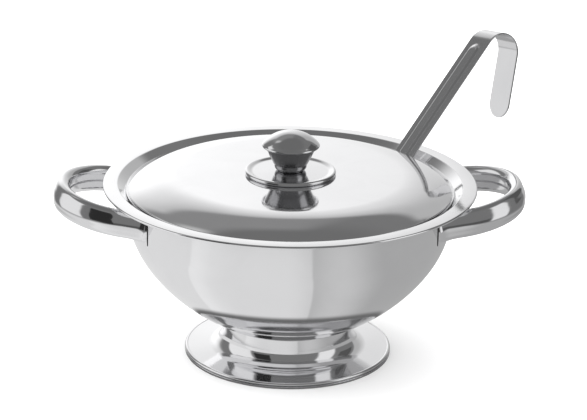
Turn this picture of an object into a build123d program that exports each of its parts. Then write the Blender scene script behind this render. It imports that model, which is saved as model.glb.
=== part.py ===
from build123d import *
import math
import os

# Polished steel soup tureen: footed bowl with two loop handles, a lid with a knob,
# and a ladle that leaves through a notch in the lid.
# Millimetres. Origin: centre of the foot's underside. +Z up, handles on the X axis.

# ---- driving dimensions ---------------------------------------------------------------
SHEET = 0.9                # wall of the bowl and the foot

RIM_RADIUS = 150.0
RIM_Z = 144.5              # top of the flange round the mouth
RIM_BEAD = 1.1             # radius of the rolled edge
FLANGE_IN = 138.5          # where the flat flange turns down to the lid seat
SEAT_RADIUS = 132.0
SEAT_Z = 139.2             # ledge that carries the lid
WALL_RADIUS = 129.0        # outside of the upright wall
BELLY_Z = 112.0            # the upright wall ends and the belly begins
BELLY_DEPTH = 98.9
BELLY_POWER = 1.64         # superellipse power of the belly curve
BELLY_END = 46.0           # radius where the belly curve hands over to the bend
FLOOR_FLAT = 26.0          # radius where the bend meets the flat floor
FLOOR_Z = 23.0             # underside of the bowl's flat floor
STEP_SHIFT = 0.4           # share of the sheet that the slanted seat step moves at its top
STEP_FILLET = 1.3
RIM_SPLIT_Z = 140.0        # level in the slanted step where the rim ring meets the bowl

FOOT_NECK = 52.0
FOOT_FLANGE_R = 81.6
FOOT_FLANGE_Z = 4.7
FOOT_SLOPE = 1.4           # rise of the flange from its edge to the neck
FOOT_FILLET = 13.0
FOOT_BEAD = 1.6
FOOT_BEAD_SINK = 0.2       # the bead's overlap with the lip below it
FOOT_LIP_R = 84.0
FOOT_LIP_Z = 1.9
FOOT_LIP_WIDE = 5.0
FOOT_INTO_BOWL = 1.0       # extra height before the neck is trimmed to the bowl

HANDLE_HALF_GAP = 52.4     # centreline of each arm from the X axis
HANDLE_REACH = 184.2       # centreline of the outer end
HANDLE_CORNER = 49.5
HANDLE_END_RADIUS = 190.0
HANDLE_RISE = 10.3         # degrees, upwards and outwards
HANDLE_Z = 125.4           # centre height where the arms meet the wall
HANDLE_PIVOT = 122.0       # the loop is tilted about this X
ARM_START = 110.0          # inside the wall, before the arms are trimmed to it
HANDLE_TALL = 22.3
HANDLE_THICK = 12.5
HANDLE_ROUND = 6.0
HANDLE_WALL = 1.0
HANDLE_SEAM = 0.7
SEAM_DROP = 1.0            # the open seam lies this far below the middle of the inner side
PAD_ANGLE = 27.6           # where the flared end of an arm stops on the wall
PAD_TALL = 24.6
PAD_FLARE = 8.0
PAD_EDGE = 0.7             # thickness of the flared end's edge
PAD_ROOT = 4.0             # how far the pad's block reaches into the arm and the wall

LID_RADIUS = 130.2
LID_SHEET = 0.8
LID_TOP = 151.7
LID_FLAT = 90.0
LID_CURVE = 78.0
LID_BEAD = 0.8
LID_GAP = 0.3              # lid bead above the seat
NOTCH_WIDTH = 29.6
NOTCH_DEPTH = 10.5
NOTCH_ROUND = 3.0
CUT_TALL = 40.0            # cutters and bores through the lid are taller than the lid

ROSETTE_RADIUS = 36.5
ROSETTE_BEAD = 1.7
ROSETTE_SHEET = 1.0
ROSETTE_TOP = 154.7
ROSETTE_DISH = 0.3         # fall of the top from its middle to its shoulder
ROSETTE_SHOULDER = 5.0     # from the shoulder to the bead's centre
NECK_RADIUS = 10.2
COLLAR_RADIUS = 13.5
COLLAR_MID = 12.6          # radius of the flare below the collar at COLLAR_MID_Z
COLLAR_MID_Z = 2.2
COLLAR_EDGE = 0.5          # height of the collar's edge
COLLAR_TALL = 5.2
STEM_FLOOR = 1.5           # the cone's floor above the collar
STEM_TOP_RADIUS = 20.6
STEM_TOP = 174.4
CAP_RADIUS = 23.2
CAP_BEAD = 1.1
CAP_TOP = 187.0
CAP_CROWN = 30.0
CAP_LEDGE = 0.6            # the cap's seat reaches this far inside the cone's wall
KNOB_SHEET = 1.2
SCREW_RADIUS = 2.5
SCREW_HOLE = 2.8
SCREW_HEAD = 4.6
SCREW_HEAD_TALL = 3.2
SCREW_HEAD_ROUND = 1.4
SCREW_SLOT = 1.2
SCREW_END_GAP = 0.5        # the blind hole is this much shorter than the stem's base
WASHER_RADIUS = 6.0
WASHER_THICK = 1.0
WASHER_HOLE = 2.7

LADLE_AZIMUTH = 38.6       # degrees from +X towards +Y
LADLE_LEAN = 44.3          # degrees above level
LADLE_ROLL = -9.3          # turn about the shaft's own line
LADLE_CROSS_R = 125.4      # where the shaft's centreline crosses the lid's edge level
LADLE_CROSS_Z = 141.0
STRAP_WIDE = 26.0
STRAP_THICK = 1.5
HOOK_RADIUS = 17.3
SHAFT_ABOVE = 121.6        # straight run from the lid's edge level to the hook
HOOK_LEG = 41.6            # straight run after the hook, before the round tip
HOOK_TILT = 14.7
TIP_EASE = 0.3             # half the strap's width over the radius of its round ends
RIB_BASE = 12.5
RIB_TOP = 8.5
RIB_TALL = 1.4
RIB_START = 6.0            # gap from the hook's bend to the rib's end
RIB_LOW = 45.0             # gap from the shaft's lower end to the rib's other end
CUP_RADIUS = 38.0
CUP_SHEET = 1.2
CUP_CLEAR = 0.7            # cup above the bowl's floor
CUP_END_ROUND = 9.0
CUP_TAB = 24.0             # degrees that the strap's end follows the cup


# ---- shared helpers -------------------------------------------------------------------
def flat_face(*lines):
    """Closed face from lines drawn in (radius, height) as XY."""
    edges = [edge for line in lines for edge in line.edges()]
    return Face(Wire(edges))


def spin(face):
    """Turn an (radius, height) face drawn in XY into a solid of revolution about Z."""
    return revolve(Plane.XZ * face, Axis.Z)


def ring(radius, height, tube):
    return spin(Pos(radius, height) * Circle(tube))


def disc(radius, z_low, z_high, bore=0.0):
    body = Pos(0, 0, (z_low + z_high) / 2) * Cylinder(radius, z_high - z_low)
    if bore > 0:
        body -= Pos(0, 0, (z_low + z_high) / 2) * Cylinder(bore, z_high - z_low + 1)
    return body


def polar(radius, degrees):
    return (radius * math.cos(math.radians(degrees)), radius * math.sin(math.radians(degrees)))


def belly_radius(z, shrink=0.0):
    """Radius of the belly at height z, for a wall drawn in by shrink."""
    drop = (BELLY_Z - z) / (BELLY_DEPTH - shrink)
    return (WALL_RADIUS - shrink) * (1 - drop ** BELLY_POWER) ** (1 / BELLY_POWER)


def belly_z(radius, shrink=0.0):
    share = radius / (WALL_RADIUS - shrink)
    return BELLY_Z - (BELLY_DEPTH - shrink) * (1 - share ** BELLY_POWER) ** (1 / BELLY_POWER)


def bowl_line(shrink):
    """The bowl's section from the flange to the floor; shrink 0 is the outer skin."""
    floor_z = FLOOR_Z + shrink
    top = RIM_Z - SHEET + shrink
    seat = SEAT_Z - SHEET + shrink
    shoulder = FilletPolyline(
        (RIM_RADIUS - RIM_BEAD, top),
        (FLANGE_IN - shrink * STEP_SHIFT, top),
        (SEAT_RADIUS - shrink * (1 - STEP_SHIFT), seat),
        (WALL_RADIUS - shrink, seat),
        (WALL_RADIUS - shrink, BELLY_Z),
        radius=STEP_FILLET,
    )
    start_z = belly_z(BELLY_END, shrink)
    steps = 9
    points = []
    for i in range(steps + 1):
        turn = math.pi / 2 * i / steps
        z = BELLY_Z - (BELLY_Z - start_z) * math.sin(turn)
        points.append((belly_radius(z, shrink), z))
    slope = belly_z(BELLY_END + 0.5, shrink) - belly_z(BELLY_END - 0.5, shrink)
    belly = Spline(*points, tangents=[(0, -1), (-1, -slope)])
    bend = Spline(points[-1], (FLOOR_FLAT, floor_z), tangents=[(-1, -slope), (-1, 0)])
    floor = Line((FLOOR_FLAT, floor_z), (0, floor_z))
    return shoulder, belly, bend, floor


# ---- bowl and foot --------------------------------------------------------------------
def make_bowl():
    outer = bowl_line(0.0)
    inner = bowl_line(SHEET)
    lip = Line(outer[0] @ 0, inner[0] @ 0)
    axis = Line((0, FLOOR_Z), (0, FLOOR_Z + SHEET))
    body = spin(flat_face(lip, *outer, *inner, axis))
    return body + ring(RIM_RADIUS - RIM_BEAD, RIM_Z - RIM_BEAD, RIM_BEAD)


def split_bowl():
    """The bowl below the split level, and the rim ring above it."""
    whole = make_bowl()
    above = disc(RIM_RADIUS * 2, RIM_SPLIT_Z, RIM_Z * 2)
    return whole - above, whole & above


def bowl_volume():
    """The bowl with its inside filled, for trimming what meets its outside."""
    outer = bowl_line(0.0)
    start = outer[0] @ 0
    return spin(flat_face(*outer, Line((0, FLOOR_Z), (0, start.Y)), Line((0, start.Y), start)))


def make_foot(trim):
    neck_top = belly_z(FOOT_NECK) + FOOT_INTO_BOWL
    neck_low = FOOT_FLANGE_Z + FOOT_SLOPE
    skin = FilletPolyline(
        (FOOT_NECK, neck_top),
        (FOOT_NECK, neck_low),
        (FOOT_FLANGE_R, FOOT_FLANGE_Z),
        radius=FOOT_FILLET,
    )
    lining = FilletPolyline(
        (FOOT_NECK - SHEET, neck_top),
        (FOOT_NECK - SHEET, neck_low - SHEET),
        (FOOT_FLANGE_R, FOOT_FLANGE_Z - SHEET),
        radius=FOOT_FILLET + SHEET,
    )
    top = Line(skin @ 0, lining @ 0)
    end = Line(skin @ 1, lining @ 1)
    body = spin(flat_face(top, skin, lining, end))
    body += ring(FOOT_LIP_R - FOOT_BEAD, FOOT_LIP_Z + FOOT_BEAD - FOOT_BEAD_SINK, FOOT_BEAD)
    body += disc(FOOT_LIP_R, 0, FOOT_LIP_Z, bore=FOOT_LIP_R - FOOT_LIP_WIDE)
    return body - trim


# ---- handles --------------------------------------------------------------------------
def handle_path():
    """Centreline of a loop in its own plane: arms along +X, round the end and back."""
    offset = HANDLE_END_RADIUS - HANDLE_CORNER
    rise = HANDLE_HALF_GAP - HANDLE_CORNER
    corner_x = HANDLE_REACH - HANDLE_END_RADIUS + math.sqrt(offset ** 2 - rise ** 2)
    angle = math.asin(rise / offset)
    centre = (HANDLE_REACH - HANDLE_END_RADIUS, 0)
    touch = (centre[0] + HANDLE_END_RADIUS * math.cos(angle), HANDLE_END_RADIUS * math.sin(angle))
    half = math.radians(45) + angle / 2
    mid = (corner_x + HANDLE_CORNER * math.cos(half), rise + HANDLE_CORNER * math.sin(half))
    low = [
        Line((ARM_START, -HANDLE_HALF_GAP), (corner_x, -HANDLE_HALF_GAP)),
        ThreePointArc((corner_x, -HANDLE_HALF_GAP), (mid[0], -mid[1]), (touch[0], -touch[1])),
    ]
    end = ThreePointArc((touch[0], -touch[1]), (HANDLE_REACH, 0), touch)
    high = [
        ThreePointArc(touch, mid, (corner_x, HANDLE_HALF_GAP)),
        Line((corner_x, HANDLE_HALF_GAP), (ARM_START, HANDLE_HALF_GAP)),
    ]
    return Wire([*low, end, *high])


def pad(side):
    """Flared end of one arm, hugging the wall; side is -1 or +1 in Y."""
    face_y = HANDLE_HALF_GAP + HANDLE_THICK / 2
    reach = math.radians(90 - PAD_ANGLE)
    tip = polar(WALL_RADIUS + PAD_EDGE, PAD_ANGLE)
    bend_x = tip[0] + PAD_FLARE * math.sin(reach)
    bend_y = tip[1] - PAD_FLARE * (1 - math.cos(reach))
    back = polar(WALL_RADIUS - PAD_ROOT, PAD_ANGLE)
    root_y = face_y - PAD_ROOT
    face = flat_face(
        RadiusArc((bend_x, bend_y), tip, PAD_FLARE),
        Line(tip, back),
        Line(back, (back[0], root_y)),
        Line((back[0], root_y), (bend_x, root_y)),
        Line((bend_x, root_y), (bend_x, bend_y)),
    )
    body = Pos(0, 0, HANDLE_Z - PAD_TALL / 2) * extrude(face, PAD_TALL)
    if side < 0:
        body = mirror(body, Plane.XZ)
    return body


def make_handle(trim):
    """The loop on the +X side, made of formed sheet with an open seam inside the loop."""
    path = handle_path()
    start = path @ 0
    outer = RectangleRounded(HANDLE_THICK, HANDLE_TALL, HANDLE_ROUND)
    inner = RectangleRounded(
        HANDLE_THICK - 2 * HANDLE_WALL, HANDLE_TALL - 2 * HANDLE_WALL, HANDLE_ROUND - HANDLE_WALL
    )
    seam = Pos(-HANDLE_THICK / 2, -SEAM_DROP) * Rectangle(HANDLE_WALL * 3, HANDLE_SEAM)
    section = outer - inner - seam
    loop = sweep(Plane(start, x_dir=(0, -1, 0), z_dir=(1, 0, 0)) * section, path=path)
    tilt = Pos(HANDLE_PIVOT, 0, HANDLE_Z) * Rot(0, -HANDLE_RISE, 0) * Pos(-HANDLE_PIVOT, 0, 0)
    body = tilt * loop
    body += pad(-1)
    body += pad(1)
    return body - trim


# ---- lid and knob ---------------------------------------------------------------------
def lid_z(radius, inset=0.0):
    """Height of the lid's skin, or of its underside with inset as the sheet."""
    curve = LID_CURVE - inset
    return LID_TOP - LID_CURVE + math.sqrt(curve ** 2 - (radius - LID_FLAT) ** 2)


def make_lid():
    edge = LID_RADIUS - LID_BEAD
    middle = (LID_FLAT + edge) / 2
    top = LID_TOP
    under = LID_TOP - LID_SHEET
    body = spin(flat_face(
        Line((0, under), (0, top)),
        Line((0, top), (LID_FLAT, top)),
        ThreePointArc((LID_FLAT, top), (middle, lid_z(middle)), (edge, lid_z(edge))),
        Line((edge, lid_z(edge)), (edge, lid_z(edge, LID_SHEET))),
        ThreePointArc(
            (edge, lid_z(edge, LID_SHEET)), (middle, lid_z(middle, LID_SHEET)), (LID_FLAT, under)
        ),
        Line((LID_FLAT, under), (0, under)),
    ))
    body += ring(edge, SEAT_Z + LID_GAP + LID_BEAD, LID_BEAD)
    notch_in = LID_RADIUS - NOTCH_DEPTH
    length = NOTCH_DEPTH * 2
    cutter = Box(length, NOTCH_WIDTH, CUT_TALL)
    cutter = fillet(cutter.edges().filter_by(Axis.Z).group_by(Axis.X)[0], NOTCH_ROUND)
    body -= Rot(0, 0, LADLE_AZIMUTH) * Pos(notch_in + length / 2, 0, LID_TOP) * cutter
    return body - disc(SCREW_HOLE, LID_TOP - CUT_TALL, LID_TOP + CUT_TALL)


def rosette_skin(inset):
    """The rosette's top, or its underside with inset as the sheet."""
    bead_r = ROSETTE_RADIUS - ROSETTE_BEAD
    shoulder = (bead_r - ROSETTE_SHOULDER, ROSETTE_TOP - ROSETTE_DISH - inset)
    edge = (bead_r, LID_TOP + 2 * ROSETTE_BEAD - inset)
    return [
        Line((SCREW_HOLE, ROSETTE_TOP - inset), shoulder),
        Spline(shoulder, edge, tangents=[(1, -0.02), (1, 0)]),
    ]


def make_rosette():
    bead_r = ROSETTE_RADIUS - ROSETTE_BEAD
    low = LID_TOP
    skin = rosette_skin(0.0)
    lining = rosette_skin(ROSETTE_SHEET)
    body = spin(flat_face(
        *skin, *lining,
        Line(skin[0] @ 0, lining[0] @ 0),
        Line(skin[1] @ 1, lining[1] @ 1),
    ))
    body += ring(bead_r, low + ROSETTE_BEAD, ROSETTE_BEAD)
    return body + disc(NECK_RADIUS, low, ROSETTE_TOP - ROSETTE_SHEET / 2, bore=SCREW_HOLE)


def make_stem():
    low = ROSETTE_TOP
    collar = low + COLLAR_TALL
    floor = collar + STEM_FLOOR
    edge = collar - COLLAR_EDGE
    wall = KNOB_SHEET
    face = flat_face(
        Line((0, low), (NECK_RADIUS, low)),
        ThreePointArc((NECK_RADIUS, low), (COLLAR_MID, low + COLLAR_MID_Z), (COLLAR_RADIUS, edge)),
        Line((COLLAR_RADIUS, edge), (COLLAR_RADIUS, collar)),
        Line((COLLAR_RADIUS, collar), (STEM_TOP_RADIUS, STEM_TOP)),
        Line((STEM_TOP_RADIUS, STEM_TOP), (STEM_TOP_RADIUS - wall, STEM_TOP)),
        Line((STEM_TOP_RADIUS - wall, STEM_TOP), (COLLAR_RADIUS - wall, floor)),
        Line((COLLAR_RADIUS - wall, floor), (0, floor)),
        Line((0, floor), (0, low)),
    )
    return spin(face) - disc(SCREW_RADIUS, low, collar)


def make_cap():
    low = STEM_TOP
    bead_r = CAP_RADIUS - CAP_BEAD
    crown_z = CAP_TOP - CAP_CROWN
    edge_z = crown_z + math.sqrt(CAP_CROWN ** 2 - bead_r ** 2)
    mid = bead_r / 2
    inner = CAP_CROWN - KNOB_SHEET
    in_r = STEM_TOP_RADIUS - KNOB_SHEET - CAP_LEDGE
    in_z = crown_z + math.sqrt(inner ** 2 - in_r ** 2)
    face = flat_face(
        Line((0, CAP_TOP - KNOB_SHEET), (0, CAP_TOP)),
        ThreePointArc(
            (0, CAP_TOP),
            (mid, crown_z + math.sqrt(CAP_CROWN ** 2 - mid ** 2)),
            (bead_r, edge_z),
        ),
        Line((bead_r, edge_z), (bead_r, low)),
        Line((bead_r, low), (in_r, low)),
        Line((in_r, low), (in_r, in_z)),
        ThreePointArc(
            (in_r, in_z),
            (mid, crown_z + math.sqrt(inner ** 2 - mid ** 2)),
            (0, CAP_TOP - KNOB_SHEET),
        ),
    )
    return spin(face) + ring(bead_r, low + CAP_BEAD, CAP_BEAD)


def make_washer():
    high = LID_TOP - LID_SHEET
    return disc(WASHER_RADIUS, high - WASHER_THICK, high, bore=WASHER_HOLE)


def make_screw():
    seat = LID_TOP - LID_SHEET - WASHER_THICK
    low = seat - SCREW_HEAD_TALL
    head = disc(SCREW_HEAD, low, seat)
    head = fillet(head.edges().group_by(Axis.Z)[0], SCREW_HEAD_ROUND)
    shank = disc(SCREW_RADIUS, seat, ROSETTE_TOP + COLLAR_TALL - SCREW_END_GAP)
    slot = Pos(0, 0, low) * Box(SCREW_HEAD * 3, SCREW_SLOT, SCREW_SLOT * 2)
    return head + shank - slot


# ---- ladle ----------------------------------------------------------------------------
# Drawn in its own frame: X outwards, Z up, the origin where its shaft crosses the lid's
# edge level. Then it rolls about the shaft and turns to its azimuth.
def along(distance):
    lean = math.radians(LADLE_LEAN)
    return (distance * math.cos(lean), distance * math.sin(lean))


def ladle_place():
    lift = Pos(LADLE_CROSS_R, 0, LADLE_CROSS_Z)
    roll = Rot(0, -LADLE_LEAN, 0) * Rot(LADLE_ROLL, 0, 0) * Rot(0, LADLE_LEAN, 0)
    return Rot(0, 0, LADLE_AZIMUTH) * lift * roll


def cup_centre():
    """Shaft's lower end and the cup's centre, in the ladle's frame, above the bowl's floor."""
    lean = math.radians(LADLE_LEAN)
    side = CUP_RADIUS + STRAP_THICK / 2
    centre_z = FLOOR_Z + SHEET + CUP_CLEAR + CUP_RADIUS
    foot_z = centre_z - side * math.cos(lean) - LADLE_CROSS_Z
    foot = along(foot_z / math.sin(lean))
    return foot, (foot[0] - side * math.sin(lean), foot[1] + side * math.cos(lean))


def cup_rise():
    """Length of the shaft below the lid's edge level."""
    foot, _ = cup_centre()
    return math.hypot(foot[0], foot[1])


def arc(centre, radius, start, end):
    """Arc about centre from one direction to another, in degrees."""
    points = []
    for turn in (start, (start + end) / 2, end):
        point = polar(radius, turn)
        points.append((centre[0] + point[0], centre[1] + point[1]))
    return ThreePointArc(*points)


def strap_line(shift):
    """The strap from its end under the cup to the hook's tip; shift is towards its upper face."""
    _, cup = cup_centre()
    lean = LADLE_LEAN
    bend = along(SHAFT_ABOVE)
    inward = polar(HOOK_RADIUS, lean - 90)
    hook = (bend[0] + inward[0], bend[1] + inward[1])
    on_cup = arc(cup, CUP_RADIUS + STRAP_THICK / 2 - shift, lean - 90 - CUP_TAB, lean - 90)
    on_hook = arc(hook, HOOK_RADIUS + shift, 90 + lean, -HOOK_TILT)
    down = polar(HOOK_LEG + STRAP_WIDE / 2, -90 - HOOK_TILT)
    leg = on_hook @ 1
    return [
        on_cup,
        Line(on_cup @ 1, on_hook @ 0),
        on_hook,
        Line(leg, (leg.X + down[0], leg.Y + down[1])),
    ]


def rib_block():
    """Raised stiffening rib on the shaft's upper face, with full-round ends."""
    low = RIB_LOW - cup_rise()
    high = SHAFT_ABOVE - RIB_START
    length = high - low
    taper = math.degrees(math.atan((RIB_BASE - RIB_TOP) / 2 / RIB_TALL))
    block = extrude(SlotOverall(length, RIB_BASE), RIB_TALL, taper=taper)
    centre = (high + low) / 2
    place = Rot(0, -LADLE_LEAN, 0) * Pos(centre, 0, STRAP_THICK / 2)
    return place * block


def corner_edges(strap):
    """The short edges through the strap's thickness."""
    return [edge for edge in strap.edges() if abs(edge.length - STRAP_THICK) < 0.01]


def make_strap():
    upper = strap_line(STRAP_THICK / 2)
    lower = strap_line(-STRAP_THICK / 2)
    ends = [Line(upper[0] @ 0, lower[0] @ 0), Line(upper[3] @ 1, lower[3] @ 1)]
    side = Pos(0, -STRAP_WIDE / 2, 0) * (Plane.XZ * flat_face(*upper, *lower, *ends))
    body = extrude(side, STRAP_WIDE, dir=(0, 1, 0))
    tip = [edge for edge in corner_edges(body) if edge.center().X > 0]
    body = fillet(tip, STRAP_WIDE / 2 - TIP_EASE)
    tab = [edge for edge in corner_edges(body) if edge.center().X < -SHAFT_ABOVE / 2]
    body = fillet(tab, CUP_END_ROUND)
    rib = rib_block()
    hollow = Rot(0, -LADLE_LEAN, 0) * Pos(0, 0, -STRAP_THICK) * Rot(0, LADLE_LEAN, 0) * rib
    body = body + rib - hollow
    return ladle_place() * body


def make_cup():
    _, centre = cup_centre()
    ball = Sphere(CUP_RADIUS) - Sphere(CUP_RADIUS - CUP_SHEET)
    open_top = Pos(0, 0, CUP_RADIUS) * Box(CUP_RADIUS * 3, CUP_RADIUS * 3, CUP_RADIUS * 2)
    bead = ring(CUP_RADIUS - CUP_SHEET / 2, 0, CUP_SHEET / 2)
    body = (ball - open_top) + bead
    aim = Rot(0, 90 - LADLE_LEAN, 0)
    return ladle_place() * Pos(centre[0], 0, centre[1]) * aim * body


# ---- assembly -------------------------------------------------------------------------
def main():
    trim = bowl_volume()
    bowl, bowl_rim = split_bowl()
    right = make_handle(trim)
    parts = {
        "bowl": bowl,
        "bowl_rim": bowl_rim,
        "foot": make_foot(trim),
        "right_handle": right,
        "left_handle": mirror(right, Plane.YZ),
        "lid_shell": make_lid(),
        "knob_rosette": make_rosette(),
        "knob_stem": make_stem(),
        "knob_cap": make_cap(),
        "knob_washer": make_washer(),
        "knob_screw": make_screw(),
        "ladle_handle": make_strap(),
        "ladle_cup": make_cup(),
    }
    os.makedirs("parts", exist_ok=True)
    for name, shape in parts.items():
        export_step(shape, f"parts/{name}.step")


main()
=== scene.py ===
"""Looks of the soup tureen: every sheet-metal piece is rebuilt as a fine mesh with polished-steel materials.

Lengths are metres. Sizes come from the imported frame's boxes where a box gives them; the rest are the named
values below. Profiles are (radius, height) pairs, turned about the tureen's axis.
"""
import math

import bmesh
import bpy
from mathutils import Matrix, Vector


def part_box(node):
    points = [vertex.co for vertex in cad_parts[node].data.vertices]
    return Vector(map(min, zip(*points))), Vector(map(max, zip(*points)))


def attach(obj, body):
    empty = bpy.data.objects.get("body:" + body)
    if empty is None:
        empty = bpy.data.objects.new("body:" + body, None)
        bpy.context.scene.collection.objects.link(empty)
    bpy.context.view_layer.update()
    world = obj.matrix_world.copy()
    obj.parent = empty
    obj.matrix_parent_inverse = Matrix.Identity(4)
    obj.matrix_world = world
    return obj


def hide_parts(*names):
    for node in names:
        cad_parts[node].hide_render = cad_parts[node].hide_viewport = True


MM = 0.001
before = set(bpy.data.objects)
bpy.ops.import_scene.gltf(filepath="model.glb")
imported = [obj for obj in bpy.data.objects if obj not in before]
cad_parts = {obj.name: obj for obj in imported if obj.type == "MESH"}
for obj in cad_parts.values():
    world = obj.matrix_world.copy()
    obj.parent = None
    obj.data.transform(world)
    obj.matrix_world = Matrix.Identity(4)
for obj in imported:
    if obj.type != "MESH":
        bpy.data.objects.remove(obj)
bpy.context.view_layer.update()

# ---- sizes read from the frame ---------------------------------------------------------
bowl_low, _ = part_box("bowl")
_, rim_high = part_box("bowl_rim")
_, foot_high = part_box("foot")
lid_low, lid_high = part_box("lid_shell")
rosette_low, rosette_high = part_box("knob_rosette")
stem_low, stem_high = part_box("knob_stem")
cap_low, cap_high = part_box("knob_cap")
washer_low, washer_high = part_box("knob_washer")
screw_low, screw_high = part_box("knob_screw")

RIM_RADIUS = rim_high.x
RIM_Z = rim_high.z
FLOOR_Z = bowl_low.z
FOOT_RADIUS = foot_high.x
LID_RADIUS = -lid_low.x
LID_TOP = lid_high.z
ROSETTE_RADIUS = rosette_high.x
ROSETTE_TOP = stem_low.z
STEM_RADIUS = stem_high.x
STEM_TOP = cap_low.z
CAP_RADIUS = cap_high.x
CAP_TOP = cap_high.z

# ---- sizes that no box gives -----------------------------------------------------------
SHEET = 0.9 * MM
RIM_BEAD = 1.1 * MM
FLANGE_IN = 138.5 * MM
SEAT_RADIUS = 132.0 * MM
SEAT_Z = RIM_Z - 5.3 * MM
WALL_RADIUS = 129.0 * MM
BELLY_Z = 112.0 * MM
BELLY_DEPTH = 98.9 * MM
BELLY_POWER = 1.64
FLOOR_RADIUS = 40.0 * MM

FOOT_NECK = 52.0 * MM
FOOT_FLANGE_R = 81.6 * MM
FOOT_FLANGE_Z = 4.7 * MM
FOOT_FILLET = 13.0 * MM
FOOT_BEAD = 1.6 * MM
FOOT_LIP_Z = 1.9 * MM

LID_SHEET = 0.8 * MM
LID_FLAT = 90.0 * MM
LID_CURVE = 78.0 * MM
LID_BEAD = 0.8 * MM
LID_GAP = 0.3 * MM
NOTCH_WIDTH = 29.6 * MM
NOTCH_DEPTH = 10.5 * MM
NOTCH_ROUND = 3.0 * MM

ROSETTE_BEAD = 1.7 * MM
ROSETTE_SHEET = 1.0 * MM
ROSETTE_FALL = 0.8 * MM    # how far the disc slopes down to its shoulder
NECK_RADIUS = 10.2 * MM
COLLAR_RADIUS = 13.5 * MM
COLLAR_TALL = 5.2 * MM
CAP_BEAD = 1.1 * MM
CAP_CROWN = 30.0 * MM
KNOB_SHEET = 1.2 * MM

HANDLE_HALF_GAP = 52.4 * MM
HANDLE_REACH = 184.2 * MM
HANDLE_CORNER = 49.5 * MM
HANDLE_END_RADIUS = 190.0 * MM
HANDLE_RISE = math.radians(10.3)
HANDLE_PIVOT = Vector((122.0 * MM, 0.0, 125.4 * MM))
HANDLE_TALL = 22.3 * MM
HANDLE_THICK = 12.5 * MM
HANDLE_ROUND = 6.0 * MM
HANDLE_SEAM = 1.2 * MM
HANDLE_CROWN = 1.1 * MM
PAD_FLARE = 8.0 * MM
PAD_REACH = 7.1 * MM
PAD_RUN = PAD_REACH * 1.5   # length of arm over which the pad blends in
PAD_STATIONS = 15
PAD_SPREAD = 0.6           # share of the full fillet that the pad spreads sideways
PAD_TALL = 24.6 * MM
# Radius of the black beads that paint the shadow in the joint gap at each pad end.
JOINT_SHADOW_RADIUS = 0.42 * MM

LADLE_AZIMUTH = math.radians(38.6)
LADLE_LEAN = math.radians(44.3)
LADLE_ROLL = math.radians(-9.3)
LADLE_CROSS = Vector((125.4 * MM, 0.0, 141.0 * MM))
STRAP_WIDE = 26.0 * MM
STRAP_THICK = 1.5 * MM
HOOK_RADIUS = 17.3 * MM
SHAFT_ABOVE = 121.6 * MM
HOOK_LEG = 41.6 * MM
HOOK_TILT = math.radians(14.7)
RIB_BASE = 12.5 * MM
RIB_TOP = 8.5 * MM
RIB_TALL = 1.4 * MM
RIB_START = 6.0 * MM
CUP_RADIUS = 38.0 * MM
CUP_SHEET = 1.2 * MM
CUP_CLEAR = 0.7 * MM
CUP_TAB = math.radians(24.0)



# ---- outlines --------------------------------------------------------------------------
def arc(centre, radius, start, end, steps):
    """Points on an arc, angles in degrees, both ends included."""
    points = []
    for i in range(steps + 1):
        turn = math.radians(start + (end - start) * i / steps)
        points.append((centre[0] + radius * math.cos(turn), centre[1] + radius * math.sin(turn)))
    return points


def rounded(corners, steps=6):
    """A line through (radius, height, fillet) corners, each corner rounded by its fillet."""
    points = [tuple(corners[0][:2])]
    for before, here, after in zip(corners, corners[1:], corners[2:]):
        spot = Vector(here[:2])
        back = (Vector(before[:2]) - spot).normalized()
        ahead = (Vector(after[:2]) - spot).normalized()
        half = back.angle(ahead) / 2
        if here[2] == 0:
            points.append(tuple(spot))
            continue
        reach = here[2] / math.tan(half)
        centre = spot + (back + ahead).normalized() * (here[2] / math.sin(half))
        first = spot + back * reach - centre
        last = spot + ahead * reach - centre
        sweep = first.angle_signed(last)
        for i in range(steps + 1):
            point = centre + Matrix.Rotation(-sweep * i / steps, 2) @ first
            points.append(tuple(point))
    points.append(tuple(corners[-1][:2]))
    return points


def curve(start, start_way, end, end_way, steps):
    """Smooth line between two points that leaves and arrives in the given directions."""
    a, b = Vector(start), Vector(end)
    reach = (b - a).length * 0.4
    p1 = a + Vector(start_way).normalized() * reach
    p2 = b - Vector(end_way).normalized() * reach
    points = []
    for i in range(steps + 1):
        t = i / steps
        spot = a * (1 - t) ** 3 + p1 * 3 * t * (1 - t) ** 2 + p2 * 3 * t ** 2 * (1 - t) + b * t ** 3
        points.append(tuple(spot))
    return points


# ---- meshes ----------------------------------------------------------------------------
def finish_mesh(mesh, name, body, material, nodes, sharp=28.0):
    mesh.validate()
    bm = bmesh.new()
    bm.from_mesh(mesh)
    bmesh.ops.remove_doubles(bm, verts=bm.verts, dist=1e-7)
    bmesh.ops.recalc_face_normals(bm, faces=bm.faces)
    bm.to_mesh(mesh)
    bm.free()
    mesh.shade_smooth()
    mesh.set_sharp_from_angle(angle=math.radians(sharp))
    piece = bpy.data.objects.new(name, mesh)
    bpy.context.scene.collection.objects.link(piece)
    mesh.materials.append(material)
    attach(piece, body)
    if nodes:
        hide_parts(*nodes)
    return piece


def lathe_mesh(name, outline, segments):
    """Closed ring of points turned about Z; points on the axis become poles."""
    verts = []
    rings = []
    for radius, height in outline:
        if radius < 1e-6:
            rings.append([len(verts)] * segments)
            verts.append((0.0, 0.0, height))
            continue
        rings.append(list(range(len(verts), len(verts) + segments)))
        for i in range(segments):
            turn = 2 * math.pi * i / segments
            verts.append((radius * math.cos(turn), radius * math.sin(turn), height))
    faces = []
    for a, b in zip(rings, rings[1:] + rings[:1]):
        for i in range(segments):
            k = (i + 1) % segments
            corners = list(dict.fromkeys([a[i], a[k], b[k], b[i]]))
            if len(corners) > 2:
                faces.append(corners)
    mesh = bpy.data.meshes.new(name)
    mesh.from_pydata(verts, [], faces)
    return mesh


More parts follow.
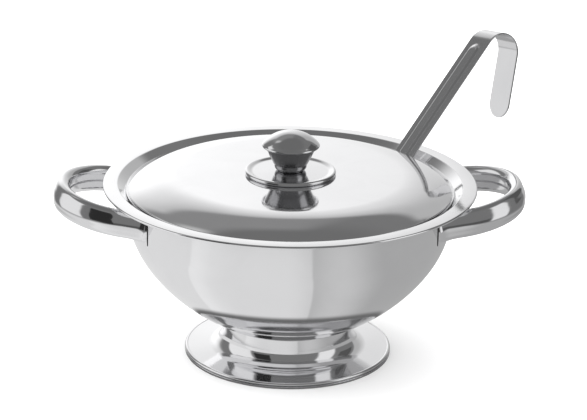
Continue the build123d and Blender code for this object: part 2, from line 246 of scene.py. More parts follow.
def grid_mesh(name, rows):
    """Skin over rows of points, where each row is a closed ring."""
    verts = [point for row in rows for point in row]
    width = len(rows[0])
    faces = []
    for r in range(len(rows) - 1):
        for i in range(width):
            k = (i + 1) % width
            faces.append([r * width + i, r * width + k, (r + 1) * width + k, (r + 1) * width + i])
    mesh = bpy.data.meshes.new(name)
    mesh.from_pydata(verts, [], faces)
    return mesh


def cut(mesh, cutter):
    """Cuts a closed mesh with another, both in the same place."""
    body = bpy.data.objects.new("cut_body", mesh)
    tool = bpy.data.objects.new("cut_tool", cutter)
    for item in (body, tool):
        bpy.context.scene.collection.objects.link(item)
    modifier = body.modifiers.new("cut", "BOOLEAN")
    modifier.operation = "DIFFERENCE"
    modifier.solver = "EXACT"
    modifier.object = tool
    depsgraph = bpy.context.evaluated_depsgraph_get()
    result = bpy.data.meshes.new_from_object(body.evaluated_get(depsgraph))
    for item in (body, tool):
        bpy.data.objects.remove(item)
    return result


def block(outline, low, high):
    """Closed prism over an XY outline."""
    count = len(outline)
    verts = [(x, y, low) for x, y in outline] + [(x, y, high) for x, y in outline]
    faces = [list(range(count))[::-1], list(range(count, 2 * count))]
    faces += [[i, (i + 1) % count, count + (i + 1) % count, count + i] for i in range(count)]
    mesh = bpy.data.meshes.new("block")
    mesh.from_pydata(verts, [], faces)
    return mesh


# ---- materials -------------------------------------------------------------------------
def node(tree, kind, values=None, **settings):
    made = tree.nodes.new(kind)
    for key, value in settings.items():
        setattr(made, key, value)
    for key, value in (values or {}).items():
        if isinstance(value, bpy.types.NodeSocket):
            tree.links.new(value, made.inputs[key])
        else:
            made.inputs[key].default_value = value
    return made


def math_node(tree, operation, *values):
    return node(tree, "ShaderNodeMath", dict(enumerate(values)), operation=operation).outputs[0]


def ramp(tree, value, low, high, out_low, out_high):
    """Maps value from low..high to out_low..out_high and holds the ends."""
    made = node(
        tree,
        "ShaderNodeMapRange",
        {"Value": value, "From Min": low, "From Max": high, "To Min": out_low, "To Max": out_high},
        interpolation_type="SMOOTHSTEP",
    )
    return made.outputs["Result"]


def polished_steel(name, tint, gloss, smear, turned=True):
    """Mirror-polished steel: buffing rings or streaks, fine hairlines, faint wipe marks."""
    material = bpy.data.materials.new(name)
    material.use_nodes = True
    tree = material.node_tree
    shader = tree.nodes["Principled BSDF"]
    place = node(tree, "ShaderNodeTexCoord").outputs["Object"]
    split = node(tree, "ShaderNodeSeparateXYZ", {"Vector": place})
    if turned:
        squares = [math_node(tree, "POWER", split.outputs[i], 2.0) for i in (0, 1)]
        radius = math_node(tree, "SQRT", math_node(tree, "ADD", *squares))
        rings = node(tree, "ShaderNodeCombineXYZ", {"X": radius, "Y": split.outputs[2], "Z": 0.0})
    else:
        rings = node(tree, "ShaderNodeMapping", {"Vector": place, "Scale": (0.06, 1.0, 0.25)})
    buffing = node(
        tree, "ShaderNodeTexNoise",
        {"Vector": rings.outputs[0], "Scale": 2600.0, "Detail": 3.0, "Roughness": 0.6},
    ).outputs["Fac"]
    wipe = node(
        tree, "ShaderNodeTexNoise",
        {"Vector": place, "Scale": 22.0, "Detail": 5.0, "Roughness": 0.55, "Distortion": 0.6},
    ).outputs["Fac"]
    stretch = node(
        tree, "ShaderNodeMapping",
        {"Vector": place, "Rotation": (0.3, 0.2, 0.7), "Scale": (60.0, 900.0, 900.0)},
    )
    hairline = node(
        tree, "ShaderNodeTexNoise", {"Vector": stretch.outputs[0], "Scale": 1.0, "Detail": 2.0}
    ).outputs["Fac"]
    scratch = ramp(tree, hairline, 0.66, 0.74, 0.0, 1.0)
    base = ramp(tree, wipe, 0.3, 0.7, gloss, gloss + smear)
    rings_part = math_node(tree, "MULTIPLY", ramp(tree, buffing, 0.35, 0.65, 0.0, 1.0), smear * 0.7)
    scratch_part = math_node(tree, "MULTIPLY", scratch, smear)
    rough = math_node(tree, "ADD", math_node(tree, "ADD", base, rings_part), scratch_part)
    tree.links.new(rough, shader.inputs["Roughness"])
    colour = node(
        tree, "ShaderNodeMix",
        {
            "Factor": ramp(tree, wipe, 0.25, 0.75, 0.0, 1.0),
            "A": (*tint, 1.0),
            "B": (*[c * 0.965 for c in tint], 1.0),
        },
        data_type="RGBA",
    )
    tree.links.new(colour.outputs["Result"], shader.inputs["Base Color"])
    relief = math_node(tree, "ADD", math_node(tree, "MULTIPLY", buffing, 0.6), scratch)
    bump = node(
        tree, "ShaderNodeBump", {"Height": relief, "Strength": 0.06, "Distance": 0.00002}
    )
    tree.links.new(bump.outputs["Normal"], shader.inputs["Normal"])
    shader.inputs["Metallic"].default_value = 1.0
    return material


bowl_steel = polished_steel("bowl_steel", (0.86, 0.86, 0.87), 0.045, 0.035)
foot_steel = polished_steel("foot_steel", (0.84, 0.84, 0.85), 0.05, 0.04)
lid_steel = polished_steel("lid_steel", (0.87, 0.87, 0.88), 0.04, 0.035)
knob_steel = polished_steel("knob_steel", (0.80, 0.80, 0.81), 0.05, 0.05)
# Painted shade: the knob's cone gets a darker copy of the knob steel, standing in for the shade under the
# head.
cone_steel_painted_shade = polished_steel("cone_steel_painted_shade", (0.44, 0.44, 0.45), 0.10, 0.08)
handle_steel = polished_steel("handle_steel", (0.82, 0.82, 0.83), 0.06, 0.05, turned=False)
ladle_steel = polished_steel("ladle_steel", (0.74, 0.74, 0.75), 0.09, 0.06, turned=False)
plain_steel = polished_steel("plain_steel", (0.60, 0.60, 0.61), 0.22, 0.12)
# Painted shadow: near-black steel for the beads on the pads' joints with the wall, standing in for the shade
# in the joint gap.
joint_shadow_steel = polished_steel("joint_shadow_steel", (0.05, 0.05, 0.05), 0.45, 0.15)


# ---- bowl and foot ---------------------------------------------------------------------
def belly_radius(z, shrink=0.0):
    drop = (BELLY_Z - z) / (BELLY_DEPTH - shrink)
    return (WALL_RADIUS - shrink) * (1 - drop ** BELLY_POWER) ** (1 / BELLY_POWER)


def belly_z(radius, shrink=0.0):
    share = radius / (WALL_RADIUS - shrink)
    return BELLY_Z - (BELLY_DEPTH - shrink) * (1 - share ** BELLY_POWER) ** (1 / BELLY_POWER)


def bowl_skin(shrink):
    """The bowl's section from the rim to the middle of its floor; shrink 0 is the outside."""
    top = RIM_Z - SHEET + shrink
    seat = SEAT_Z - SHEET + shrink
    floor_z = FLOOR_Z + shrink
    wall = WALL_RADIUS - shrink
    shoulder = rounded([
        (RIM_RADIUS - RIM_BEAD, top, 0),
        (FLANGE_IN - shrink * 0.4, top, 1.6 * MM),
        (SEAT_RADIUS - shrink * 0.6, seat, 1.3 * MM),
        (wall, seat, 1.3 * MM),
        (wall, BELLY_Z, 0),
    ], 8)
    turn_radius = FLOOR_RADIUS + 6 * MM
    end_z = belly_z(turn_radius, shrink)
    steps = 56
    belly = []
    for i in range(1, steps + 1):
        z = BELLY_Z - (BELLY_Z - end_z) * math.sin(math.pi / 2 * i / steps)
        belly.append((belly_radius(z, shrink), z))
    slope = (belly_z(turn_radius + MM, shrink) - belly_z(turn_radius - MM, shrink)) / (2 * MM)
    inner = FLOOR_RADIUS - 14 * MM
    bend = curve(belly[-1], (-1, -slope), (inner, floor_z), (-1, 0), 16)[1:]
    floor = [(inner * (1 - i / 4), floor_z) for i in range(1, 5)]
    return shoulder + belly + bend + floor


def make_bowl():
    outer = bowl_skin(0.0)
    inner = bowl_skin(SHEET)
    bead = arc((RIM_RADIUS - RIM_BEAD, RIM_Z - RIM_BEAD), RIM_BEAD, 90, -190, 22)
    outline = inner[::-1] + bead + outer[1:]
    mesh = lathe_mesh("bowl", outline, 320)
    finish_mesh(mesh, "steel_bowl", "tureen", bowl_steel, ["bowl", "bowl_rim"], 35)


def make_foot():
    neck_top = belly_z(FOOT_NECK) + 0.4 * MM
    skin = rounded([
        (FOOT_NECK, neck_top, 0),
        (FOOT_NECK, FOOT_FLANGE_Z + 1.4 * MM, FOOT_FILLET),
        (FOOT_FLANGE_R, FOOT_FLANGE_Z, 0),
    ], 24)
    lining = rounded([
        (FOOT_NECK - SHEET, neck_top, 0),
        (FOOT_NECK - SHEET, FOOT_FLANGE_Z + 1.4 * MM - SHEET, FOOT_FILLET + SHEET),
        (FOOT_FLANGE_R, FOOT_FLANGE_Z - SHEET, 0),
    ], 24)
    bead_r = FOOT_RADIUS - FOOT_BEAD
    bead = arc((bead_r, FOOT_LIP_Z + FOOT_BEAD - 0.2 * MM), FOOT_BEAD, 140, -70, 16)
    lip = rounded([
        (FOOT_RADIUS - 0.7 * MM, FOOT_LIP_Z, 0),
        (FOOT_RADIUS, FOOT_LIP_Z, 0.3 * MM),
        (FOOT_RADIUS, 0, 0.4 * MM),
        (FOOT_RADIUS - 5 * MM, 0, 0.4 * MM),
        (FOOT_RADIUS - 5 * MM, FOOT_LIP_Z, 0),
    ], 4)
    outline = skin + bead + lip + lining[::-1]
    mesh = lathe_mesh("foot", outline, 256)
    finish_mesh(mesh, "steel_foot", "tureen", foot_steel, ["foot"], 35)


# ---- handles ---------------------------------------------------------------------------
def handle_section():
    """Section of the formed sheet as (across, up) points; across is positive outside the loop."""
    half_w, half_h = HANDLE_THICK / 2, HANDLE_TALL / 2
    r = HANDLE_ROUND
    points = []
    flat = half_h - r
    for i in range(9):
        share = -1 + 2 * i / 8
        points.append((half_w - HANDLE_CROWN * share ** 2, flat * share))
    side = half_w - HANDLE_CROWN
    for i in range(1, 13):
        turn = math.pi * i / 12
        radius_x = side if i <= 6 else half_w
        points.append((radius_x * math.cos(turn), flat + r * math.sin(turn)))
    seam = HANDLE_SEAM / 2
    fold = 0.5 * MM
    for height in (flat * 0.5, seam + fold * 1.6):
        points.append((-half_w, height))
    for i in range(5):
        turn = math.pi / 2 * i / 4
        points.append((-half_w + fold * (1 - math.cos(turn)), seam + fold * (1 - math.sin(turn))))
    points.append((-half_w + 1.6 * MM, seam))
    lower = [(x, -y) for x, y in points[9:]]
    return points + lower[::-1]


def handle_line():
    """Centreline of one half of the loop in plan, from the wall to the middle of the end."""
    offset = HANDLE_END_RADIUS - HANDLE_CORNER
    rise = HANDLE_HALF_GAP - HANDLE_CORNER
    corner_x = HANDLE_REACH - HANDLE_END_RADIUS + math.sqrt(offset ** 2 - rise ** 2)
    angle = math.degrees(math.asin(rise / offset))
    start_x = math.sqrt(WALL_RADIUS ** 2 - HANDLE_HALF_GAP ** 2)
    flare = [start_x + PAD_RUN * (i / (PAD_STATIONS - 1)) ** 1.3 for i in range(PAD_STATIONS)]
    straight = [(x, HANDLE_HALF_GAP) for x in flare]
    for i in range(1, 4):
        straight.append((flare[-1] + (corner_x - flare[-1]) * i / 4, HANDLE_HALF_GAP))
    corner = arc((corner_x, rise), HANDLE_CORNER, 90, angle, 36)
    end = arc((HANDLE_REACH - HANDLE_END_RADIUS, 0), HANDLE_END_RADIUS, angle, 0, 8)[1:]
    return straight + corner + end


def make_handle(side, name, cad_node):
    half = handle_line()
    line = half + [(x, -y) for x, y in half[-2::-1]]
    section = handle_section()
    tilt = Matrix.Translation(HANDLE_PIVOT) @ Matrix.Rotation(-HANDLE_RISE, 4, "Y")
    tilt = tilt @ Matrix.Translation((-HANDLE_PIVOT.x, 0, 0))
    rows = []
    for i, (x, y) in enumerate(line):
        before = Vector(line[max(i - 1, 0)])
        after = Vector(line[min(i + 1, len(line) - 1)])
        if min(i, len(line) - 1 - i) < PAD_STATIONS:
            after, before = Vector((0.0, 0.0)), Vector((math.copysign(1.0, y), 0.0))
        way = (before - after).normalized()
        out = Vector((-way.y, way.x))
        if out.dot(Vector((x - 0.6 * HANDLE_REACH, y))) < 0:
            out.negate()
        depth = x - math.sqrt(WALL_RADIUS ** 2 - HANDLE_HALF_GAP ** 2)
        row = []
        for across, up in section:
            point = Vector((x + out.x * across, y + out.y * across, up))
            if depth < PAD_RUN:
                point = flared(point, depth, across)
            point = tilt @ point
            if i in (0, len(line) - 1):
                radius = WALL_RADIUS - SHEET * 0.3
                point.x = math.sqrt(radius ** 2 - point.y ** 2)
            row.append((point.x * side, point.y, point.z))
        rows.append(row)
    mesh = grid_mesh(name, rows)
    caps(mesh, len(section))
    finish_mesh(mesh, name, "tureen", handle_steel, [cad_node], 40)
    make_joint_shadow(side, name + "_joint_shadows")


def flared(point, depth, across):
    """Spreads the arm's end over the wall: outwards in plan, and a little taller."""
    y = point.y
    wall_x = math.sqrt(WALL_RADIUS ** 2 - min(abs(y), WALL_RADIUS * 0.9) ** 2)
    start_x = math.sqrt(WALL_RADIUS ** 2 - HANDLE_HALF_GAP ** 2)
    fade = max(0.0, 1 - depth / PAD_RUN)
    x = point.x + (wall_x - start_x) * fade
    near = max(0.0, PAD_REACH - (x - wall_x))
    spread = PAD_SPREAD * (PAD_FLARE - math.sqrt(max(PAD_FLARE ** 2 - near ** 2, 0.0)))
    weight = max(0.0, across / (HANDLE_THICK / 2))
    y += math.copysign(spread * weight, y)
    z = point.z * (1 + (PAD_TALL / HANDLE_TALL - 1) * fade ** 2)
    return Vector((x, y, z))


def make_joint_shadow(side, name):
    """Black beads on the joints down the ends of both pads, on the wall; their black is painted shadow of
    the joint gap.
    """
    spread = PAD_SPREAD * (PAD_FLARE - math.sqrt(PAD_FLARE ** 2 - PAD_REACH ** 2))
    y = HANDLE_HALF_GAP + HANDLE_THICK / 2 + spread
    x = math.sqrt((WALL_RADIUS + JOINT_SHADOW_RADIUS * 0.3) ** 2 - y ** 2)
    middle = HANDLE_PIVOT.z - (HANDLE_PIVOT.x - x) * math.tan(HANDLE_RISE)
    half = PAD_TALL / 2 - JOINT_SHADOW_RADIUS
    verts = []
    faces = []
    steps, around = 24, 10
    for way in (-1, 1):
        start = len(verts)
        for i in range(steps + 1):
            turn = -math.pi / 2 + math.pi * i / steps
            radius = JOINT_SHADOW_RADIUS * max(math.cos(turn), 0.05) ** 0.4
            for k in range(around):
                spin = 2 * math.pi * k / around
                verts.append((
                    side * (x + radius * math.cos(spin)),
                    way * (y + radius * math.sin(spin)),
                    middle + half * math.sin(turn),
                ))
        for i in range(steps):
            for k in range(around):
                m = (k + 1) % around
                low, high = start + i * around, start + (i + 1) * around
                faces.append([low + k, low + m, high + m, high + k])
        faces.append([start + k for k in range(around)])
        faces.append([start + steps * around + k for k in range(around)])
    mesh = bpy.data.meshes.new(name)
    mesh.from_pydata(verts, [], faces)
    finish_mesh(mesh, name, "tureen", joint_shadow_steel, [], 60)


def caps(mesh, width):
    """Closes both ends of a swept tube."""
    bm = bmesh.new()
    bm.from_mesh(mesh)
    bm.verts.ensure_lookup_table()
    count = len(bm.verts)
    bm.faces.new([bm.verts[i] for i in range(width)])
    bm.faces.new([bm.verts[count - width + i] for i in range(width)])
    bm.to_mesh(mesh)
    bm.free()


# ---- lid and knob ----------------------------------------------------------------------
def lid_height(radius, inset=0.0):
    curved = LID_CURVE - inset
    return LID_TOP - LID_CURVE + math.sqrt(curved ** 2 - (radius - LID_FLAT) ** 2)


def make_lid():
    edge = LID_RADIUS - LID_BEAD
    hole = 2.8 * MM
    flat_steps = 12
    arc_steps = 30
    top = [(hole + (LID_FLAT - hole) * i / flat_steps, LID_TOP) for i in range(flat_steps)]
    under = [(r, z - LID_SHEET) for r, z in top]
    for i in range(arc_steps + 1):
        radius = LID_FLAT + (edge - LID_FLAT) * i / arc_steps
        top.append((radius, lid_height(radius)))
        under.append((radius, lid_height(radius, LID_SHEET)))
    bead_z = SEAT_Z + LID_GAP + LID_BEAD
    bead = arc((edge, bead_z), LID_BEAD, 78, -130, 14)
    outline = top + bead + under[::-1]
    mesh = lathe_mesh("lid", outline, 320)
    inner = LID_RADIUS - NOTCH_DEPTH
    half = NOTCH_WIDTH / 2
    shape = rounded([
        (inner + 2 * NOTCH_DEPTH, -half, 0),
        (inner, -half, NOTCH_ROUND),
        (inner, half, NOTCH_ROUND),
        (inner + 2 * NOTCH_DEPTH, half, 0),
    ], 8)
    cutter = block(shape, LID_TOP - 30 * MM, LID_TOP + 20 * MM)
    cutter.transform(Matrix.Rotation(LADLE_AZIMUTH, 4, "Z"))
    mesh = cut(mesh, cutter)
    finish_mesh(mesh, "steel_lid", "lid", lid_steel, ["lid_shell"], 25)


def make_rosette():
    bead_r = ROSETTE_RADIUS - ROSETTE_BEAD
    bore = 2.8 * MM
    shoulder = bead_r - 5 * MM
    shoulder_z = ROSETTE_TOP - ROSETTE_FALL
    edge = (bead_r, rosette_low.z + 2 * ROSETTE_BEAD)
    skin = [(bore, ROSETTE_TOP), (NECK_RADIUS, ROSETTE_TOP - 0.05 * MM)]
    skin += curve((shoulder, shoulder_z), (1, -0.06), edge, (1, 0.1), 8)
    bead = arc((bead_r, rosette_low.z + ROSETTE_BEAD), ROSETTE_BEAD, 84, -180, 22)
    lining = [(shoulder, shoulder_z - ROSETTE_SHEET), (NECK_RADIUS, ROSETTE_TOP - ROSETTE_SHEET)]
    post = [(NECK_RADIUS, rosette_low.z), (bore, rosette_low.z)]
    outline = skin + bead + lining + post
    mesh = lathe_mesh("rosette", outline, 192)
    finish_mesh(mesh, "knob_base_disc", "lid", knob_steel, ["knob_rosette"], 35)


def make_stem():
    low = ROSETTE_TOP
    collar = low + COLLAR_TALL
    wall = KNOB_SHEET
    bore = 2.5 * MM
    groove = 0.55 * MM
    ring_low = (COLLAR_RADIUS - groove, collar - groove)
    ring_mid = (COLLAR_RADIUS - groove, collar)
    ring_top = (COLLAR_RADIUS + groove, collar + 2 * groove)
    skin = curve((NECK_RADIUS, low), (1, 0.5), ring_low, (-0.1, 1), 12)
    skin += curve(ring_mid, (0.1, 1), ring_top, (0.5, 1), 6)
    skin += [(STEM_RADIUS, STEM_TOP)]
    core = [
        (STEM_RADIUS - wall, STEM_TOP),
        (COLLAR_RADIUS - wall, collar + 1.5 * MM),
        (0, collar + 1.5 * MM),
        (0, collar - 0.5 * MM),
        (bore, collar - 0.5 * MM),
        (bore, low),
    ]
    mesh = lathe_mesh("stem", skin + core, 160)
    finish_mesh(mesh, "knob_cone", "lid", cone_steel_painted_shade, ["knob_stem"], 30)


def make_cap():
    bead_r = CAP_RADIUS - CAP_BEAD
    crown_z = CAP_TOP - CAP_CROWN
    steps = 24
    dome = []
    for i in range(steps + 1):
        radius = (bead_r - 0.2 * MM) * i / steps
        dome.append((radius, crown_z + math.sqrt(CAP_CROWN ** 2 - radius ** 2)))
    bead = arc((bead_r, STEM_TOP + CAP_BEAD), CAP_BEAD, 60, -170, 16)
    inner = CAP_CROWN - KNOB_SHEET
    inside = []
    for i in range(13):
        radius = (STEM_RADIUS - KNOB_SHEET - 0.6 * MM) * (1 - i / 12)
        inside.append((radius, crown_z + math.sqrt(inner ** 2 - radius ** 2)))
    outline = dome + bead + [(STEM_RADIUS - KNOB_SHEET - 0.6 * MM, STEM_TOP)] + inside
    mesh = lathe_mesh("cap", outline, 192)
    finish_mesh(mesh, "knob_head", "lid", knob_steel, ["knob_cap"], 32)


def make_fastener():
    outer = washer_high.x
    bore = 2.7 * MM
    ease = 0.15 * MM
    ring = rounded([
        (bore, washer_high.z, 0),
        (outer, washer_high.z, ease),
        (outer, washer_low.z, ease),
        (bore, washer_low.z, 0),
    ], 4)
    mesh = lathe_mesh("washer", ring, 96)
    finish_mesh(mesh, "knob_washer_ring", "lid", plain_steel, ["knob_washer"], 35)
    head = screw_high.x
    shank = 2.5 * MM
    outline = rounded([
        (0, screw_low.z, 0),
        (head, screw_low.z, 1.4 * MM),
        (head, washer_low.z, 0.2 * MM),
        (shank, washer_low.z, 0),
        (shank, screw_high.z - 0.4 * MM, 0),
        (shank - 0.4 * MM, screw_high.z, 0),
        (0, screw_high.z, 0),
    ], 6)
    mesh = lathe_mesh("screw", outline, 96)
    slot_half = 0.6 * MM
    end = head * 1.3
    outline = [(-end, -slot_half), (end, -slot_half), (end, slot_half), (-end, slot_half)]
    slot = block(outline, screw_low.z - MM, screw_low.z + 1.2 * MM)
    mesh = cut(mesh, slot)
    finish_mesh(mesh, "knob_screw_slotted", "lid", plain_steel, ["knob_screw"], 30)


# ---- ladle -----------------------------------------------------------------------------
# Drawn in its own frame: X outwards, Z up, origin where the shaft crosses the lid's edge level.
def along(distance):
    return Vector((distance * math.cos(LADLE_LEAN), 0, distance * math.sin(LADLE_LEAN)))


def ladle_place():
    roll = Matrix.Rotation(-LADLE_LEAN, 4, "Y") @ Matrix.Rotation(LADLE_ROLL, 4, "X")
    roll = roll @ Matrix.Rotation(LADLE_LEAN, 4, "Y")
    return Matrix.Rotation(LADLE_AZIMUTH, 4, "Z") @ Matrix.Translation(LADLE_CROSS) @ roll


def cup_centre():
    """The shaft's lower end and the cup's centre, with the cup just above the bowl's floor."""
    side = CUP_RADIUS + STRAP_THICK / 2
    centre_z = FLOOR_Z + SHEET + CUP_CLEAR + CUP_RADIUS
    foot_z = centre_z - side * math.cos(LADLE_LEAN) - LADLE_CROSS.z
    foot = along(foot_z / math.sin(LADLE_LEAN))
    return foot, foot + Vector((-side * math.sin(LADLE_LEAN), 0, side * math.cos(LADLE_LEAN)))


def strap_stations():
    """(length so far, centre point, upward normal) along the strap, from the cup's tab to the hook's tip."""
    foot, cup = cup_centre()
    stations = []
    length = 0.0
    radius = CUP_RADIUS + STRAP_THICK / 2
    for i in range(13):
        turn = LADLE_LEAN - math.pi / 2 - CUP_TAB * (1 - i / 12)
        out = Vector((math.cos(turn), 0, math.sin(turn)))
        stations.append((radius * CUP_TAB * i / 12, cup + out * radius, -out))
    length = radius * CUP_TAB
    run = SHAFT_ABOVE + foot.length
    up = Vector((-math.sin(LADLE_LEAN), 0, math.cos(LADLE_LEAN)))
    fine = 150
    for i in range(1, fine + 1):
        stations.append((length + run * i / fine, foot + along(run * i / fine), up))
    length += run
    bend = along(SHAFT_ABOVE)
    hook = bend - up * HOOK_RADIUS
    sweep = math.pi / 2 + LADLE_LEAN + HOOK_TILT
    for i in range(1, 49):
        turn = math.pi / 2 + LADLE_LEAN - sweep * i / 48
        out = Vector((math.cos(turn), 0, math.sin(turn)))
        stations.append((length + HOOK_RADIUS * sweep * i / 48, hook + out * HOOK_RADIUS, out))
    length += HOOK_RADIUS * sweep
    last = stations[-1][1]
    down = Vector((-math.sin(HOOK_TILT), 0, -math.cos(HOOK_TILT)))
    out = Vector((math.cos(HOOK_TILT), 0, -math.sin(HOOK_TILT)))
    run = HOOK_LEG + STRAP_WIDE / 2
    for i in range(1, 15):
        stations.append((length + HOOK_LEG * i / 14, last + down * HOOK_LEG * i / 14, out))
    for i in range(1, 21):
        reach = HOOK_LEG + STRAP_WIDE / 2 * math.sin(math.pi / 2 * i / 20)
        stations.append((length + reach, last + down * reach, out))
    return stations, length + run


def smooth_step(value):
    value = min(max(value, 0.0), 1.0)
    return value * value * (3 - 2 * value)


def rib_height(distance, across, rib_low, rib_high):
    """Height of the pressed rib at a place on the strap."""
    half = RIB_BASE / 2
    past = max(rib_low + half - distance, distance - (rib_high - half), 0.0)
    reach = math.hypot(past, across)
    return RIB_TALL * smooth_step((half - reach) / ((RIB_BASE - RIB_TOP) / 2))


def make_strap():
    stations, total = strap_stations()
    foot, _ = cup_centre()
    tab = (CUP_RADIUS + STRAP_THICK / 2) * CUP_TAB
    rib_low = tab + 45.0 * MM
    rib_high = tab + foot.length + SHAFT_ABOVE - RIB_START
    place = ladle_place()
    edge = STRAP_THICK / 2
    across_steps = 44
    rows = []
    for distance, centre, up in stations:
        half = STRAP_WIDE / 2
        tip = total - distance
        if tip < STRAP_WIDE / 2:
            half = math.sqrt(max(half ** 2 - (half - tip) ** 2, 0.0))
        corner = 9.0 * MM
        if distance < corner:
            half = half - corner + math.sqrt(corner ** 2 - (corner - distance) ** 2)
        half = max(half, edge * 1.01)
        flat = half - edge
        row = []
        for i in range(across_steps + 1):
            across = -flat + 2 * flat * i / across_steps
            row.append((across, edge + rib_height(distance, across, rib_low, rib_high)))
        for i in range(1, 6):
            turn = math.pi / 2 - math.pi * i / 6
            row.append((flat + edge * math.cos(turn), edge * math.sin(turn)))
        for i in range(across_steps + 1):
            across = flat - 2 * flat * i / across_steps
            row.append((across, -edge + rib_height(distance, across, rib_low, rib_high)))
        for i in range(1, 6):
            turn = -math.pi / 2 - math.pi * i / 6
            row.append((-flat + edge * math.cos(turn), edge * math.sin(turn)))
        rows.append([place @ (centre + up * lift + Vector((0, a, 0))) for a, lift in row])
    mesh = grid_mesh("strap", rows)
    caps(mesh, len(rows[0]))
    finish_mesh(mesh, "ladle_strap", "ladle", ladle_steel, ["ladle_handle"], 35)


def make_cup():
    _, centre = cup_centre()
    outer = [(CUP_RADIUS * math.cos(t), CUP_RADIUS * math.sin(t)) for t in
             [-math.pi / 2 * i / 36 for i in range(36, -1, -1)]]
    bead = arc((CUP_RADIUS - CUP_SHEET / 2, 0.0), CUP_SHEET / 2, 0, 180, 8)[1:-1]
    inner_r = CUP_RADIUS - CUP_SHEET
    inner = [(inner_r * math.cos(t), inner_r * math.sin(t)) for t in
             [-math.pi / 2 * i / 36 for i in range(37)]]
    outline = [(max(r, 0.0), z) for r, z in outer + bead + inner]
    mesh = lathe_mesh("cup", outline, 160)
    aim = Matrix.Rotation(math.pi / 2 - LADLE_LEAN, 4, "Y")
    mesh.transform(ladle_place() @ Matrix.Translation(centre) @ aim)
    finish_mesh(mesh, "ladle_bowl", "ladle", ladle_steel, ["ladle_cup"], 35)


make_bowl()
make_foot()
make_handle(1, "right_loop_handle", "right_handle")
make_handle(-1, "left_loop_handle", "left_handle")
make_lid()
make_rosette()
make_stem()
make_cap()
make_fastener()
make_strap()
make_cup()

# ---- studio ----------------------------------------------------------------------------
# Azimuth is in degrees from straight away from the camera, positive to the right. The white and
# grey flats, the table's painted light and shade and the two dark cards are only mirrored by the
# steel; the camera sees a plain pale floor under soft light.
BACK = 2.9                 # the camera looks this far clockwise of +Y, seen from above
WALLS = 0.20               # brightness of the room where no flat stands
FLATS = [
    # (brightness, azimuth centre, half width, soft edge, lowest elevation, highest, soft edge)
    (0.17, 0, 180, 1, 58, 90, 8),          # ceiling
    (0.27, -20, 28, 6, 38, 62, 5),         # grey flat above the backdrop
    (0.50, 2, 36, 3, -20, 40.5, 2.5),      # white backdrop
    (0.80, -8, 24, 12, -20, 36, 7),
    (1.25, -13, 14, 10, -20, 24, 8),       # its lit middle
    (0.90, -88, 26, 3, -20, 42, 4),        # white flat on the left
    (0.60, -50, 6, 4, 48, 60, 4),
    (0.90, 107, 17, 3, -20, 46, 4),        # white flat on the right
    (0.10, 168, 42, 6, -22, -2, 3),        # dark floor of the room behind the camera
]
TABLE = 0.80               # brightness of the table between the sheets
SHEET_NEAR = 0.38          # the table's sheets fade out between these radii
SHEET_FAR = 0.56
# Painted light and shade of the table, seen only in the steel: lighter sheets on the left where light falls,
# painted shade on the right, and a painted contact shadow round the foot.
TABLE_LIGHT_AND_SHADE = [
    # (brightness, azimuth centre, half width, soft edge, nearest radius, farthest, soft edge)
    (0.78, 174, 56, 1, 0, 9, 0.01),
    (0.97, -122, 4, 26, 0, 9, 0.01),
    (0.80, -59, 59, 0.8, 0, 9, 0.01),
    # painted shade: the right side of the table darker
    (0.44, 83, 83, 0.8, 0, 9, 0.01),
    (0.62, 150, 16, 16, 0, 9, 0.01),
    # painted contact shadow: dark close round the foot
    (0.16, 0, 180, 1, 0, 0.094, 0.006),
]

CAMERA_TARGET = Vector((3.0, -0.15, 120.4)) * MM
CAMERA_DISTANCE = 1.9
CAMERA_RISE = math.radians(19.6)
CAMERA_ROLL = math.radians(1.0)
CAMERA_LENS = 144.7        # millimetres, on a sensor 36 wide


def painted(tree, level, azimuth, height, layers, most):
    """Lays soft-edged patches over a level; a patch that reaches a limit has no edge there."""
    for grey, centre, half, blur, low, high, soft in layers:
        turned = math_node(tree, "SUBTRACT", azimuth, centre + BACK)
        away = math_node(tree, "WRAP", turned, -180.0, 180.0)
        off = math_node(tree, "ABSOLUTE", away)
        mask = ramp(tree, off, half - blur, half + blur, 1.0, 0.0) if half < 180 else 1.0
        if low > most[0]:
            above = ramp(tree, height, low - soft, low + soft, 0.0, 1.0)
            mask = math_node(tree, "MULTIPLY", mask, above)
        if high < most[1]:
            below = ramp(tree, height, high - soft, high + soft, 1.0, 0.0)
            mask = math_node(tree, "MULTIPLY", mask, below)
        level = math_node(tree, "MULTIPLY_ADD", mask, math_node(tree, "SUBTRACT", grey, level), level)
    return level


def azimuth_of(tree, split):
    turn = math_node(tree, "ARCTAN2", split.outputs[0], split.outputs[1])
    return math_node(tree, "MULTIPLY", turn, 180 / math.pi)


def build_world():
    world = bpy.data.worlds.new("studio")
    bpy.context.scene.world = world
    world.use_nodes = True
    tree = world.node_tree
    direction = node(tree, "ShaderNodeTexCoord").outputs["Generated"]
    split = node(tree, "ShaderNodeSeparateXYZ", {"Vector": direction})
    rise = math_node(tree, "ARCSINE", split.outputs[2])
    elevation = math_node(tree, "MULTIPLY", rise, 180 / math.pi)
    level = painted(tree, WALLS, azimuth_of(tree, split), elevation, FLATS, (-90, 90))
    tree.links.new(level, tree.nodes["Background"].inputs["Color"])


def stage_plane(name, corners):
    mesh = bpy.data.meshes.new(name)
    mesh.from_pydata(corners, [], [list(range(len(corners)))])
    plane = bpy.data.objects.new(name, mesh)
    bpy.context.scene.collection.objects.link(plane)
    material = bpy.data.materials.new(name)
    material.use_nodes = True
    mesh.materials.append(material)
    return plane, material.node_tree


def square(size, height):
    return [(-size, -size, height), (size, -size, height), (size, size, height), (-size, size, height)]


def only_mirrored(plane):
    plane.visible_camera = False
    plane.visible_diffuse = False
    plane.visible_shadow = False
    plane.visible_transmission = False


def make_floor():
    floor, tree = stage_plane("floor", square(6.0, 0.0))
    shader = tree.nodes["Principled BSDF"]
    shader.inputs["Base Color"].default_value = (0.9, 0.9, 0.9, 1)
    shader.inputs["Roughness"].default_value = 0.9
    shader.inputs["Specular IOR Level"].default_value = 0.1
    floor.visible_glossy = False


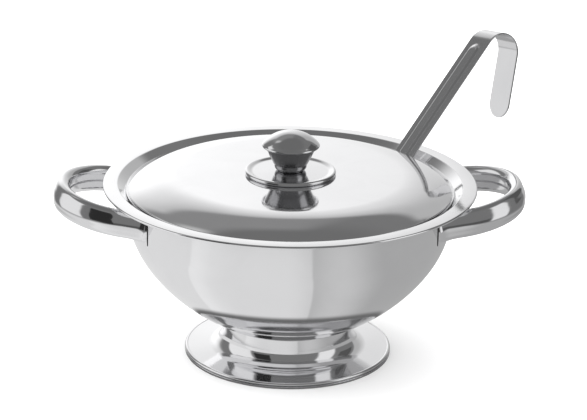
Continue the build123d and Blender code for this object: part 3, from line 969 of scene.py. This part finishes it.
def make_table():
    """What the steel mirrors of the table: painted light and shade in sheets, which fade out away from the
    tureen.
    """
    table, tree = stage_plane("table_painted_light_and_shade", square(1.5, -0.0002))
    tree.nodes.remove(tree.nodes["Principled BSDF"])
    place = node(tree, "ShaderNodeNewGeometry").outputs["Position"]
    split = node(tree, "ShaderNodeSeparateXYZ", {"Vector": place})
    squares = [math_node(tree, "POWER", split.outputs[i], 2.0) for i in (0, 1)]
    radius = math_node(tree, "SQRT", math_node(tree, "ADD", *squares))
    level = painted(tree, TABLE, azimuth_of(tree, split), radius, TABLE_LIGHT_AND_SHADE, (0, 9))
    glow = node(tree, "ShaderNodeEmission", {"Color": level})
    clear = node(tree, "ShaderNodeBsdfTransparent")
    fade = ramp(tree, radius, SHEET_NEAR, SHEET_FAR, 0.0, 1.0)
    mixed = node(tree, "ShaderNodeMixShader", {0: fade, 1: glow.outputs[0], 2: clear.outputs[0]})
    tree.links.new(mixed.outputs[0], tree.nodes["Material Output"].inputs["Surface"])
    only_mirrored(table)


def make_flag(name, centre, azimuth, width, low, high, grey):
    """Upright dark card that faces along azimuth."""
    turn = math.radians(azimuth + BACK)
    side = Vector((math.cos(turn), -math.sin(turn))) * width / 2
    x, y = centre
    corners = [(x - side.x, y - side.y, low), (x + side.x, y + side.y, low)]
    corners += [(x + side.x, y + side.y, high), (x - side.x, y - side.y, high)]
    flag, tree = stage_plane(name, corners)
    tree.nodes.remove(tree.nodes["Principled BSDF"])
    glow = node(tree, "ShaderNodeEmission", {"Color": (grey, grey, grey, 1)})
    tree.links.new(glow.outputs[0], tree.nodes["Material Output"].inputs["Surface"])
    only_mirrored(flag)


def make_sun(name, azimuth, elevation, strength, spread):
    light = bpy.data.lights.new(name, "SUN")
    light.energy = strength
    light.angle = math.radians(spread)
    lamp = bpy.data.objects.new(name, light)
    bpy.context.scene.collection.objects.link(lamp)
    turn, rise = math.radians(azimuth + BACK), math.radians(elevation)
    toward = Vector((math.sin(turn) * math.cos(rise), math.cos(turn) * math.cos(rise), math.sin(rise)))
    lamp.rotation_euler = (-toward).to_track_quat("-Z", "Y").to_euler()
    lamp.visible_glossy = False


def make_camera():
    camera = bpy.data.objects.new("camera", bpy.data.cameras.new("camera"))
    bpy.context.scene.collection.objects.link(camera)
    target = CAMERA_TARGET
    distance = CAMERA_DISTANCE
    elevation = CAMERA_RISE
    heading = math.radians(BACK)
    roll = CAMERA_ROLL
    flat = Vector((math.sin(heading), math.cos(heading), 0))
    forward = flat * math.cos(elevation) - Vector((0, 0, math.sin(elevation)))
    right = forward.cross(Vector((0, 0, 1))).normalized()
    up = right.cross(forward)
    side = right * math.cos(roll) + up * math.sin(roll)
    head = up * math.cos(roll) - right * math.sin(roll)
    turn = Matrix((side, head, -forward)).transposed().to_4x4()
    camera.matrix_world = Matrix.Translation(target - forward * distance) @ turn
    camera.data.sensor_width = 36.0
    camera.data.lens = CAMERA_LENS
    camera.data.clip_start = 0.05
    bpy.context.scene.camera = camera


build_world()
make_floor()
make_table()
make_flag("flag_left", (-0.28, -0.27), -150, 0.20, 0.07, 0.33, 0.03)
make_flag("flag_right", (0.45, 0.20), 100, 0.34, 0.15, 0.60, 0.10)
make_sun("key", -60, 62, 1.5, 80)
make_sun("fill", 0, 90, 4.6, 170)
make_camera()
bpy.context.scene.view_settings.view_transform = "Standard"
